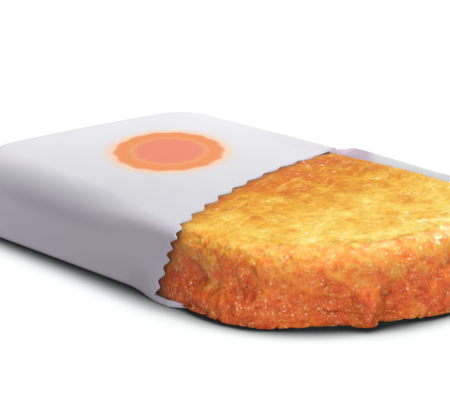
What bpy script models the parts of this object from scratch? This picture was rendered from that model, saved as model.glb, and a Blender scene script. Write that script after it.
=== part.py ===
"""A hash brown patty in its paper sleeve, lying flat.

The patty is a pressed slab of shredded potato with straight sides, round ends and an uneven browned
skin. The sleeve is a flat-bottomed paper bag, shut at the -X end. Its near wall and its top are cut
back on a slant with pinked teeth. Its bottom and its far wall run on, as a lip under and behind the
patty.

Units are metres. +X points to the patty's free end, -Y is the near side and +Z is up. The origin is
the middle of the footprint, on the surface that the sleeve lies on.
"""

import math

import bmesh
import bpy
from mathutils import Vector, noise

# The whole
OVERALL_LENGTH = 0.1215
GAP = 0.0003  # air between the paper and the patty's highest crags

# The sleeve
SLEEVE_WIDTH = 0.072
SLEEVE_HEIGHT = 0.0172
SLEEVE_LENGTH = 0.0918  # from the shut end to the lip's straight edge
PAPER = 0.0003
CROWN = 0.0004  # how far the top panel swells over the patty
CREASE_RADIUS = 0.004  # the soft upper edges, where the paper turns over the patty's rim
FOOT_RADIUS = 0.0014  # the sharper folds along the floor
CORNER_RADIUS = 0.0075  # the shut end's corners, seen from above
END_BULGE = 0.0012

# The pinked cut across the top and down the near wall; reaches are measured from the shut end
TOP_REACH_NEAR = 0.0805
TOP_REACH_FAR = 0.0566
CUT_CURVE = 1.7  # 1 is a straight slant; above 1 it flattens out towards the far side
WALL_REACH_FOOT = 0.075
WALL_REMNANT = 0.0011  # the strip of near wall left standing along the lip's fold
PINK_DEPTH = 0.0014
TOP_TEETH = 13
WALL_TEETH = 6
TOOTH_LEAN = 0.62  # where a tooth's tip stands between its two notches

# The patty
PATTY_LENGTH = 0.1178
PATTY_THICKNESS = 0.0153
END_REACH = 0.028  # how far a round end runs past the straight sides
END_POWER = 1.75  # 2 is an ellipse; below 2 the ends are slightly pointed
FREE_END_SAG = 0.0005  # how far the free end's underside comes down past the lip
RIM_RADIUS = 0.0045
UNDER_RADIUS = 0.0024
BASE_RELIEF = 0.00015  # the skin's lumps and hollows underneath
TOP_RELIEF = 0.0005  # on the top
CRAG_RELIEF = 0.0013  # and round the side
HIDDEN_SHARE = 0.25  # the share of the relief that is left under the paper
RELIEF_FADE = 0.006  # the length over which it comes in, past the sleeve's edge
LUMP_SIZE = 0.011
SHRED_SIZE = 0.0055
# Single crags round the free end's near corner: x, y, size and push outwards
CRAGS = (
    (0.0515, -0.0205, 0.0055, -0.0012),
    (0.0565, -0.0155, 0.0028, 0.0014),
    (0.0560, -0.0100, 0.0032, -0.0014),
)
PLAN_CELLS = 32  # cells along each side of the square that is laid over the outline
RIM_ROWS = 5
SIDE_ROWS = 5
UNDER_ROWS = 4

SHUT_END_X = -OVERALL_LENGTH / 2
LIP_X = SHUT_END_X + SLEEVE_LENGTH
HALF_WIDTH = SLEEVE_WIDTH / 2
PATTY_X = (OVERALL_LENGTH - PATTY_LENGTH - CRAG_RELIEF) / 2
PATTY_BASE = PAPER + GAP + BASE_RELIEF
PATTY_HALF_WIDTH = HALF_WIDTH - PAPER - GAP - HIDDEN_SHARE * CRAG_RELIEF
STRAIGHT_HALF = PATTY_LENGTH / 2 - END_REACH
QUARTER_TURN = math.pi * (END_REACH + PATTY_HALF_WIDTH) / 4  # the length round half of one end


def top_cut(y):
    """The x at which the top panel's slanted cut crosses y."""
    across = min(1.0, max(0.0, (HALF_WIDTH - y) / SLEEVE_WIDTH))
    return SHUT_END_X + TOP_REACH_FAR + (TOP_REACH_NEAR - TOP_REACH_FAR) * across**CUT_CURVE


def wall_cut(z):
    """The x at which the near wall's cut crosses the height z."""
    return SHUT_END_X + WALL_REACH_FOOT + (TOP_REACH_NEAR - WALL_REACH_FOOT) * z / SLEEVE_HEIGHT


def material(name, colour, roughness):
    """A Principled BSDF of one colour."""
    made = bpy.data.materials.new(name)
    made.use_nodes = True
    made.diffuse_color = (*colour, 1.0)
    shader = made.node_tree.nodes["Principled BSDF"]
    shader.inputs["Base Color"].default_value = (*colour, 1.0)
    shader.inputs["Roughness"].default_value = roughness
    shader.inputs["Metallic"].default_value = 0.0
    return made


def object_from(bm, name, collection):
    """A new object that holds the bmesh, with its faces turned outwards."""
    bmesh.ops.recalc_face_normals(bm, faces=bm.faces)
    mesh = bpy.data.meshes.new(name)
    bm.to_mesh(mesh)
    bm.free()
    made = bpy.data.objects.new(name, mesh)
    collection.objects.link(made)
    return made


def section(half_width, height):
    """Points (y, z) round the sleeve: bottom, near wall, top and far wall, each before its fold."""
    panel_steps = (6, 3, 12, 3)
    fold_steps = (2, 6, 6, 2)
    radii = (FOOT_RADIUS, CREASE_RADIUS, CREASE_RADIUS, FOOT_RADIUS)
    corners = ((-1, 0), (-1, 1), (1, 1), (1, 0))
    folds = []
    for index, (side, upper) in enumerate(corners):
        radius, steps = radii[index], fold_steps[index]
        centre = Vector((side * (half_width - radius), height - radius if upper else radius))
        angles = [math.radians(270 - 90 * (index + i / steps)) for i in range(steps + 1)]
        folds.append([centre + radius * Vector((math.cos(a), math.sin(a))) for a in angles])
    points = []
    for index, fold in enumerate(folds):
        start, steps = folds[index - 1][-1], panel_steps[index]
        points += [start.lerp(fold[0], i / steps) for i in range(1, steps)] + fold
    for point in points:
        across = point.x / half_width
        point.y += CROWN * (1 - across * across) * (point.y / height) ** 4
    return points


def sleeve_rings():
    """The sleeve's rings of 3-D points, from the middle of the shut end to the lip."""
    rings = []
    shut_width = HALF_WIDTH - CORNER_RADIUS
    shut_height = SLEEVE_HEIGHT - FOOT_RADIUS
    middle = Vector((0, shut_height / 2))
    for share in (0.3, 0.7):
        x = SHUT_END_X + END_BULGE * share * share
        ring = [middle + (point - middle) * share for point in section(shut_width, shut_height)]
        rings.append([Vector((x, *point)) for point in ring])
    # the plan corners and the upper edge round over together, in a quarter turn
    corner_x = SHUT_END_X + END_BULGE
    for turn in (0, 14, 28, 46, 66, 90):
        rise = math.sin(math.radians(turn))
        x = corner_x + CORNER_RADIUS * (1 - math.cos(math.radians(turn)))
        ring = section(shut_width + CORNER_RADIUS * rise, shut_height + FOOT_RADIUS * rise)
        rings.append([Vector((x, *point)) for point in ring])
    body_x = corner_x + CORNER_RADIUS
    for share in (0.25, 0.5, 0.75, 1.0):
        ring = section(HALF_WIDTH, SLEEVE_HEIGHT)
        rings.append([Vector((body_x + (LIP_X - body_x) * share, *point)) for point in ring])
    return rings


def loft(rings):
    """A bmesh skin over rings of equal counts, the first of them closed by a flat face."""
    bm = bmesh.new()
    rows = [[bm.verts.new(point) for point in ring] for ring in rings]
    bm.faces.new(rows[0])
    for low, high in zip(rows, rows[1:]):
        for i in range(len(low)):
            bm.faces.new((low[i - 1], low[i], high[i], high[i - 1]))
    return bm


def prism(outline, push, name, collection):
    """A hidden cutter: a flat outline, pushed along a vector."""
    bm = bmesh.new()
    face = bm.faces.new([bm.verts.new(point) for point in outline])
    pushed = bmesh.ops.extrude_face_region(bm, geom=[face])["geom"]
    moved = [item for item in pushed if isinstance(item, bmesh.types.BMVert)]
    bmesh.ops.translate(bm, verts=moved, vec=push)
    cutter = object_from(bm, name, collection)
    cutter.hide_render = True
    cutter.display_type = "WIRE"


def pinked(start, end, teeth, cut):
    """Points (x, along) of a toothed line that follows x = cut(along), by notch and tip."""
    pitch = (end - start) / teeth
    points = []
    for tooth in range(teeth):
        for lean, push in ((0, -0.5), (TOOTH_LEAN, 0.5)):
            along = start + (tooth + lean) * pitch
            points.append((cut(along) + push * PINK_DEPTH, along))
    return points + [(cut(end) - PINK_DEPTH / 2, end)]


def mouth_cutters(collection):
    """The two cutters that open the top panel and the near wall along their pinked lines."""
    clear = 0.002  # how far a cutter reaches past the paper
    beyond = LIP_X + clear
    near = -HALF_WIDTH - clear
    far = HALF_WIDTH - CREASE_RADIUS / 2
    seam = SLEEVE_HEIGHT - CREASE_RADIUS
    teeth = pinked(-HALF_WIDTH, far, TOP_TEETH, top_cut)
    outline = [(teeth[0][0], near), *teeth, (beyond, far), (beyond, near)]
    prism([(x, y, seam) for x, y in outline], (0, 0, CREASE_RADIUS + clear), "top_cutter", collection)
    outline = pinked(WALL_REMNANT, seam, WALL_TEETH, wall_cut)
    outline += [(beyond, seam), (beyond, WALL_REMNANT)]
    prism([(x, near, z) for x, z in outline], (0, clear + CREASE_RADIUS, 0), "wall_cutter", collection)


def paper_sleeve(parts, cutters):
    """The bag: a lofted skin given the paper's thickness, then cut along the pinked lines."""
    sleeve = object_from(loft(sleeve_rings()), "paper_sleeve", parts)
    shell = sleeve.modifiers.new("paper", "SOLIDIFY")
    shell.thickness = PAPER
    shell.offset = -1
    shell.use_even_offset = True
    mouth_cutters(cutters)
    mouth = sleeve.modifiers.new("mouth", "BOOLEAN")
    mouth.operation = "DIFFERENCE"
    mouth.solver = "EXACT"
    mouth.operand_type = "COLLECTION"
    mouth.collection = cutters
    sleeve.data.shade_smooth()
    sleeve.data.set_sharp_from_angle(angle=math.radians(35))
    sleeve.data.materials.append(material("white_paper", (0.80, 0.80, 0.84), 0.7))


def plan_point(turn, inset):
    """The patty's outline at a turn in degrees from the free end: its (x, y), and the way out.

    Each end is half a superellipse. The sides between the two ends are straight.
    """
    folded = 1 - abs(turn % 180 / 90 - 1)  # 0 at the middles of the ends, 1 at those of the sides
    ahead = folded * (QUARTER_TURN + STRAIGHT_HALF)
    angle = math.radians(90 * min(1.0, ahead / QUARTER_TURN))
    x = math.cos(angle) ** (2 / END_POWER)
    y = math.sin(angle) ** (2 / END_POWER)
    out = Vector((x ** (END_POWER - 1) / END_REACH, y ** (END_POWER - 1) / PATTY_HALF_WIDTH))
    along = STRAIGHT_HALF - max(0.0, ahead - QUARTER_TURN)
    plan = Vector((along + x * (END_REACH - inset), y * (PATTY_HALF_WIDTH - inset)))
    mirror = Vector((-1 if 90 < turn <= 270 else 1, -1 if turn > 180 else 1))
    return plan * mirror, out.normalized() * mirror


def side_rows():
    """Rows from the rim's top down to the base: (inset, height, tilt of the skin in degrees)."""
    rim_foot = PATTY_THICKNESS - RIM_RADIUS
    rows = []
    for i in range(RIM_ROWS + 1):
        tilt = 90 * (1 - i / RIM_ROWS)
        slope = math.radians(tilt)
        rows.append((RIM_RADIUS * (1 - math.cos(slope)), rim_foot + RIM_RADIUS * math.sin(slope), tilt))
    for i in range(1, SIDE_ROWS):
        rows.append((0, rim_foot + (UNDER_RADIUS - rim_foot) * i / SIDE_ROWS, 0))
    for i in range(UNDER_ROWS + 1):
        tilt = -90 * i / UNDER_ROWS
        slope = math.radians(tilt)
        rows.append((UNDER_RADIUS * (1 - math.cos(slope)), UNDER_RADIUS * (1 + math.sin(slope)), tilt))
    return rows


def smooth_step(start, length, value):
    """0 up to start, 1 from start + length on, and a smooth rise between them."""
    share = min(1.0, max(0.0, (value - start) / length))
    return share * share * (3 - 2 * share)


def relief(point, out):
    """How far the skin stands out: soft lumps and sharper shreds, pressed flat under the paper."""
    lumps = noise.noise(point / LUMP_SIZE + Vector((3.1, 8.2, 5.5)))
    shreds = 1 - 3 * abs(noise.noise(point / SHRED_SIZE))
    covered_to = top_cut(point.y) if out.z > 0 or point.y < 0 else LIP_X
    bare = smooth_step(covered_to, RELIEF_FADE, point.x)
    sideways = math.hypot(out.x, out.y)
    flat_relief = TOP_RELIEF if out.z > 0 else BASE_RELIEF
    height = flat_relief + (CRAG_RELIEF - flat_relief) * sideways
    if out.z > -1:
        height *= HIDDEN_SHARE + (1 - HIDDEN_SHARE) * bare
    uneven = height * (0.6 * lumps + 0.4 * shreds)
    for x, y, size, push in CRAGS:
        away = (point.xy - Vector((x, y))).length / size
        uneven += push * sideways * math.exp(-away * away)
    return uneven


def square_turn(across, along):
    """The turn in degrees of a point on the square |across| or |along| = 1, evenly along its sides."""
    ring = max(abs(across), abs(along), 1e-9)
    u, v = across / ring, along / ring
    if abs(u) >= abs(v):
        return (45 * v) % 360 if u > 0 else 180 - 45 * v
    return 90 - 45 * u if v > 0 else 270 + 45 * u


def hash_brown(parts):
    """The patty: a finely cut cube laid over the slab, its square rings on the outline's rings."""
    rows = side_rows()
    bm = bmesh.new()
    bmesh.ops.create_cube(bm, size=2)
    upright = [edge for edge in bm.edges if edge.verts[0].co.z != edge.verts[1].co.z]
    bmesh.ops.subdivide_edges(bm, edges=upright, cuts=len(rows) - 2, use_grid_fill=True)
    level = [edge for edge in bm.edges if abs(edge.verts[0].co.z - edge.verts[1].co.z) < 1e-6]
    bmesh.ops.subdivide_edges(bm, edges=level, cuts=PLAN_CELLS - 1, use_grid_fill=True)
    for vert in bm.verts:
        inset, height, tilt = rows[round((1 - vert.co.z) / 2 * (len(rows) - 1))]
        share = max(abs(vert.co.x), abs(vert.co.y))
        plan, out = plan_point(square_turn(vert.co.x, vert.co.y), inset)
        x = PATTY_X + plan.x * share
        sag = FREE_END_SAG * smooth_step(LIP_X, RELIEF_FADE, x) * (1 - height / PATTY_THICKNESS)
        point = Vector((x, plan.y * share, PATTY_BASE + height - sag))
        slope = math.radians(tilt)
        out = Vector((out.x * math.cos(slope), out.y * math.cos(slope), math.sin(slope)))
        vert.co = point + out * relief(point, out)
    patty = object_from(bm, "hash_brown", parts)
    patty.data.shade_smooth()
    patty.data.materials.append(material("fried_potato", (0.72, 0.30, 0.06), 0.4))


def new_collection(name):
    """A collection in the scene."""
    made = bpy.data.collections.new(name)
    bpy.context.scene.collection.children.link(made)
    return made


def main():
    """Clears the scene and builds both pieces."""
    for item in list(bpy.data.objects):
        bpy.data.objects.remove(item)
    parts = new_collection("hash_browns")
    cutters = new_collection("cutters")
    hash_brown(parts)
    paper_sleeve(parts, cutters)


main()
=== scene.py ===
import itertools
import math

import bpy
import numpy as np
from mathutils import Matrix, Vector


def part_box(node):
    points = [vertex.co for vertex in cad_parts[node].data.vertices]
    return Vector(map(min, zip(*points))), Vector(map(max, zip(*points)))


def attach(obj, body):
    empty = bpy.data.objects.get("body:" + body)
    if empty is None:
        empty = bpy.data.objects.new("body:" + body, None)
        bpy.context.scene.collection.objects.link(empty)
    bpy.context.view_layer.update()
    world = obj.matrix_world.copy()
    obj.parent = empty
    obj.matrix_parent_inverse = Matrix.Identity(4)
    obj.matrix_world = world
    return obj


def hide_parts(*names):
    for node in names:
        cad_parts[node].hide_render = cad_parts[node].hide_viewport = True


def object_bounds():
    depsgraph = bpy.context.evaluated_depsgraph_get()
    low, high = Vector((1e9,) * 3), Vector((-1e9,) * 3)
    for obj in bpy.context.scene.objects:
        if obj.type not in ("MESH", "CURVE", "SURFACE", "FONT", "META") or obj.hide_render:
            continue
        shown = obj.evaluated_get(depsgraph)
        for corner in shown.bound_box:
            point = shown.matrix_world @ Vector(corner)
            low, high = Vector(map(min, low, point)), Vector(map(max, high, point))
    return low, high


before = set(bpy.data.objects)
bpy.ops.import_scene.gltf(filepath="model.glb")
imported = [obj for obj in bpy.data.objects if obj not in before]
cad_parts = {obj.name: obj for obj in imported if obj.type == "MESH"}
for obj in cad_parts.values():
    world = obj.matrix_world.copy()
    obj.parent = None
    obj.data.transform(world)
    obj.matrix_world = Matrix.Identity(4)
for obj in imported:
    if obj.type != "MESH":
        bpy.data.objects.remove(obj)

# A fried hash brown patty in its paper sleeve, lying on a white table. Units are metres and degrees.
# +X points to the patty's free end, -Y is the near side and +Z is up. The main sizes are those of the
# solids. A pair whose name ends in FADE is the start and the length of a fade().

CAD_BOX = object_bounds()
SLEEVE_LOW, SLEEVE_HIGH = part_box("paper_sleeve")

# The sleeve
SHUT_END_X = SLEEVE_LOW.x
LIP_X = SLEEVE_HIGH.x
HALF_WIDTH = SLEEVE_HIGH.y
CROWN = 0.0004  # how much higher the panels stand along the middle of the top
SLEEVE_HEIGHT = SLEEVE_HIGH.z - CROWN
PAPER = 0.0003
CREASE_RADIUS = 0.0080  # the near fold, behind the mouth
END_CREASE = 1.3  # how many times wider the near fold is by the shut end
END_CREASE_FADE = (0.05, 0.35)  # over the share of the way to the mouth
MOUTH_CREASE = 0.0030  # the near fold, at the mouth
MOUTH_CREASE_FADE = (0.45, 0.5)
CRISP_CREASE = 0.0020  # the far fold
FOOT_RADIUS = 0.0014
END_DROP = 0.0005  # how much lower the top is at the shut end
CORNER_RADIUS = 0.0075
END_BULGE = 0.0012
SEAM = SLEEVE_HEIGHT - CREASE_RADIUS

# The pinked cut across the top and down the near wall; reaches are measured from the shut end
TOP_REACH_NEAR = 0.0805
TOP_REACH_FAR = 0.0562
CUT_CURVE = 1.85
CUT_FAR = HALF_WIDTH - 0.0009
WALL_REACH_FOOT = 0.0758
WALL_CURVE = 1.5
WALL_REMNANT = 0.0015  # the height of what is left of the near wall past the cut
TOP_PINK_DEPTH = 0.0014
FAR_PINK_DEPTH = 0.0007
FAR_PINK_FADE = (-0.020, 0.030)  # across the top, where the teeth get shallower
WALL_PINK_DEPTH = 0.0013
TOP_TEETH = 10
WALL_TEETH = 6
TOOTH_LEAN = 0.62
TOOTH_ROUNDING = 0.8  # 0 leaves the teeth as sharp triangles, 1 makes them a smooth wave

# The lip past the cut, and how the paper has sprung open there
LIP_ROUNDING = 0.0120  # the round near corner of the lip
LIP_RISE = 1.3  # how much higher the lip stands than the fold that it was cut from
LIP_FALL = 0.35  # how much of that it loses again by its end
LIP_LEAN = 0.15
OPENING_LENGTH = 0.006
FOOT_SPREAD = 0.0020  # how far the near wall's foot has sprung out over the table
SPREAD_FADE = (0.003, 0.014)
SPREAD_LOSS = 0.8  # the share of it that is lost again at the lip's near corner
SPREAD_FROM_Y = 0.026  # the bottom is stretched from here on towards the near side

# The sleeve's slow waves and dents
MOUTH_DIP = 0.0008  # how far the top panel has sunk onto the patty at the cut
DIP_LENGTH = 0.016
END_HUMP = 0.0004  # how far the top swells near the shut end
HUMP_FADE = (-0.045, 0.030)
NEAR_FACE_DEPTH = 0.004
WAVES_LENGTH = 0.020
SLOW_WAVE, FINE_WAVE = 0.028, 0.010
TOP_WAVES = (0.00020, 0.00006)
NEAR_WAVES = (0.00025, 0.00005)
NEAR_PUSH = 0.00010

# The flap on the shut end
FLAP_HALF_WIDTH = 0.027
FLAP_TAPER = 0.005
FLAP_FOOT = 0.0012
FLAP_TOP = 0.0112
FLAP_GAP = 0.00013
FLAP_PAPER = 0.00012

# How finely the sleeve is cut: steps over the bottom, near wall, top and far wall, and over their folds
PANEL_STEPS = (60, 66, 220, 20)
FOLD_STEPS = (8, 34, 26, 8)
CAP_ROWS = 12
CORNER_ROWS = 12
BODY_ROWS = 52
BODY_CROWDING = 1.5  # above 1 the body's rows crowd together towards the mouth
LIP_ROWS = 26
FLAP_CELLS = 24
HARD_EDGE = 50  # folds sharper than this are shaded as edges

# The patty
PATTY_LENGTH = 0.1178
PATTY_THICKNESS = 0.0153
END_REACH = 0.028
END_POWER = 1.75
# the radius of the upper rim, as (turn, radius): crisp along the far side and where the near rim comes out
RIM_RADII = (
    (0, 0.0060), (35, 0.0060), (65, 0.0020), (135, 0.0020), (165, 0.0060), (190, 0.0075), (240, 0.0075),
    (270, 0.0036), (300, 0.0036), (326, 0.0060), (360, 0.0060),
)
UNDER_RADIUS = 0.0009
GAP = 0.0003
BASE_RELIEF = 0.00015
TOP_RELIEF = 0.0005
CRAG_RELIEF = 0.0013
HIDDEN_SHARE = 0.25  # how much of the relief is left where the paper covers the patty
RELIEF_LENGTH = 0.006
FREE_END_SAG = 0.0005
NEAR_FOOT_SAG = 0.0004  # how far the near edge of the base has sunk onto the paper
FAR_RISE = 0.0006  # how much higher the far edge stands
PATTY_X = (CAD_BOX[1].x - SHUT_END_X - PATTY_LENGTH - CRAG_RELIEF) / 2
PATTY_BASE = PAPER + GAP + BASE_RELIEF
PATTY_HALF_WIDTH = HALF_WIDTH - PAPER - GAP - HIDDEN_SHARE * CRAG_RELIEF
STRAIGHT_HALF = PATTY_LENGTH / 2 - END_REACH
QUARTER_TURN = math.pi * (END_REACH + PATTY_HALF_WIDTH) / 4
OUTLINE_LENGTH = 4 * (QUARTER_TURN + STRAIGHT_HALF)
FLAT_BASE = -0.999  # normals whose z is below this belong to the flat base

# What the lower side is pushed out by: crags, as (x, y, size, push), and the near foot, as (x, push)
CRAGS = (
    (0.0515, -0.0205, 0.0055, -0.0012),
    (0.0562, -0.0170, 0.0030, 0.0034),
    (0.0580, -0.0118, 0.0024, -0.0020),
    (0.0600, 0.0030, 0.0090, 0.0022),
)
NEAR_BULGE = (
    (0.005, 0.0), (0.010, 0.0006), (0.014, 0.0013), (0.018, 0.0018), (0.023, 0.0020), (0.026, 0.0026),
    (0.034, 0.0026), (0.041, 0.0026), (0.045, 0.0011), (0.050, 0.0),
)
FOOT_RAGGEDNESS = 0.0011
FOOT_CRUMB_REACH = 0.0018

# Potato shreds: where they lie, how many, their length, width and direction (mean and spread), and a seed
TOP_SPANS = ((-0.06, 0.064), (-0.037, 0.037))
TOP_SHREDS = (TOP_SPANS, 800, (0.007, 0.022), (0.0014, 0.0030), (105, 40), 11)
SIDE_SPANS = ((-OUTLINE_LENGTH / 2, OUTLINE_LENGTH / 2), (0.0, 0.021))
SIDE_SHREDS = (SIDE_SPANS, 900, (0.004, 0.012), (0.0010, 0.0026), (-25, 45), 12)
SHRED_BEND = 0.22
SHRED_RISE = (0.35, 1.0)
SHRED_ROUNDING = 0.6
SHRED_MEAN = 0.6  # about how high the backs of the shreds are
SHRED_FADE = (0.25, 0.6)  # from the top's shreds to the side's, as the skin turns sideways

# Broken facets
FACETS = 620
FACET_SIZE = 0.004
FACET_LEAN = 0.45
FACET_RISE = 0.6
CRACK_WIDTH = 0.0005
CHUNK = 8000  # how many points are worked on at a time

# Parts of the crust: bells as (middle, width), regions as (middle x, half length, middle y, half width).
# Bands run along the rim, at distances from its upper edge down the side.
CREAM_END = (0.050, 0.024, -0.014, 0.028)
CREAM_BAND = (-0.0005, 0.0060)
# pale starchy lumps along the near rim, partly painted highlight
STARCH_AND_SHEEN_BAND = (-0.0010, 0.0045)
BUMPY_END = (0.051, 0.020, -0.010, 0.026)
BUMPY_BAND = (0.0032, 0.0046, 0.0034)  # the middle, and the width above and below it
FAR_AMBER = (0.006, 0.016, 0.014, 0.026)
GOLDEN_FADE = (0.012, 0.026)
# a pale patch on the top by the mouth's near side is a painted highlight
SHEEN_BY_MOUTH = (0.0205, 0.0030)
SHEEN_Y_FADE = (0.012, 0.010)
SIDE_BROWN_START = 0.0026
SIDE_BROWN_LENGTHS = (0.0102, 0.0042)  # by the mouth and at the free end
SIDE_BROWN_FADE = (0.016, 0.018)
LOW_BROWN_FADE = (0.0060, 0.0090)

# What each texture adds to the relief: everywhere, more of it on the side, and more on the bumpy rim
RELIEF_WEIGHTS = {
    "lumps": (0.40, 0, 0),
    "back": (0.22, 0.28, 0),
    "facet": (0.08, 0.26, 0),
    "crack": (0, -0.08, 0),
    "crumb": (0.10, 0.12, 0.14),
    "blister": (0, 0, 0.55),
}
# What each adds to the browning, which is 0 for cream and 1 for dark brown; paler shred backs and browner
# grooves and cracks are partly painted highlight and shade
BROWN_WEIGHTS = {
    "tint": (0.05, 0, 0),
    "facet_tint": (0.018, 0.06, 0),
    "crack": (0, 0.09, 0),
    "back": (-0.06, -0.09, 0),
    "blister": (0, 0, -0.20),
}

# How finely the skin is cut
PATTY_CELLS = 152  # cells along each side of the square that is laid over the outline
RIM_ROWS = 22
SIDE_ROWS = 26
UNDER_ROWS = 12
FINE_TURN = 8.0  # the turn round the outline about which the columns crowd together
CROWDING = 0.5
FINE_X = 0.024  # where the middle of the square is laid

# The camera, fitted to the straight edges of the sleeve
CAMERA_PLACE = (0.2982, -0.27325, 0.12573)
CAMERA_AIM = (-0.0276, 0.0202, 0.0)
CAMERA_LENS = 149.3
SENSOR_WIDTH = 36.0

# The lights: name, the way to it, strength, spread and colour
SUNS = (
    ("key", (-0.14, 0.26, 0.95), 2.64, 30, (1.0, 1.0, 1.0)),
    ("back_fill", (-0.30, 0.95, 0.05), 2.9, 18, (0.96, 0.98, 1.0)),
    ("end_fill", (0.95, -0.25, 0.06), 1.90, 24, (1.0, 1.0, 1.0)),
    ("glint", (0.66, -0.36, 0.66), 0.30, 5, (1.0, 1.0, 1.0)),
    ("near_fill", (0.30, -0.94, 0.07), 1.08, 30, (1.0, 0.93, 1.0)),
)
ROOM_COLOUR = (0.94, 0.97, 1.0, 1.0)
ROOM_STRENGTH = 0.13

# The table
TABLE_HALF = 2.5
TABLE_DROP = 0.00002  # below the paper, so that the two never coincide
TABLE_COLOUR = (0.955, 0.965, 0.960, 1.0)
SHADOW_COLOUR = (0.060, 0.068, 0.068, 1.0)
CONTACT_SHADOW = 0.020  # how near things must be to darken it
OPENNESS = (0.46, 0.87)  # how open it is where the shadow is deepest, and where it ends


def fade(start, length, value):
    """0 up to start, 1 from start + length on, and 3t² - 2t³ between them."""
    share = np.clip((value - start) / length, 0, 1)
    return share * share * (3 - 2 * share)


def bell(value, middle, width):
    """1 at the middle, falling off to both sides as exp(-d²) at d widths from it."""
    return np.exp(-(((value - middle) / width) ** 2))


def lattice_noise(points, size, seed):
    """Soft lumps from -1 to 1: random values at the corners of a lattice, blended across each cell."""
    side = 32
    values = np.random.default_rng(seed).uniform(-1, 1, (side, side, side))
    cells = points / size
    low = np.floor(cells).astype(int)
    share = cells - low
    share = share * share * (3 - 2 * share)
    total = np.zeros(points.shape[:-1])
    for corner in itertools.product((0, 1), repeat=3):
        weight = np.prod(np.where(np.array(corner) == 1, share, 1 - share), axis=-1)
        node = (low + corner) % side
        total += weight * values[node[..., 0], node[..., 1], node[..., 2]]
    return total


def new_object(name, data):
    """A new object in the scene."""
    made = bpy.data.objects.new(name, data)
    bpy.context.scene.collection.objects.link(made)
    return made


def new_piece(name, points, faces):
    """A smooth-shaded mesh object at the origin that rides on the part's one body."""
    mesh = bpy.data.meshes.new(name)
    mesh.from_pydata(points, [], faces)
    mesh.update()
    mesh.shade_smooth()
    piece = new_object(name, mesh)
    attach(piece, "root")
    return piece


def store(piece, name, values):
    """Keeps one number for each vertex as an attribute that a material can read."""
    attribute = piece.data.attributes.new(name, "FLOAT", "POINT")
    attribute.data.foreach_set("value", values.astype(np.float32))


def grid_quads(index):
    """Quads between neighbouring entries of a 2-D array of vertex numbers."""
    corners = (index[:-1, :-1], index[1:, :-1], index[1:, 1:], index[:-1, 1:])
    return np.stack(corners, axis=-1).reshape(-1, 4)


# --- Materials


def srgb(red, green, blue):
    """A colour given in 0 to 255, as linear light."""
    shares = np.array([red, green, blue]) / 255
    linear = np.where(shares <= 0.04045, shares / 12.92, ((shares + 0.055) / 1.055) ** 2.4)
    return (*linear.tolist(), 1.0)


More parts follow.
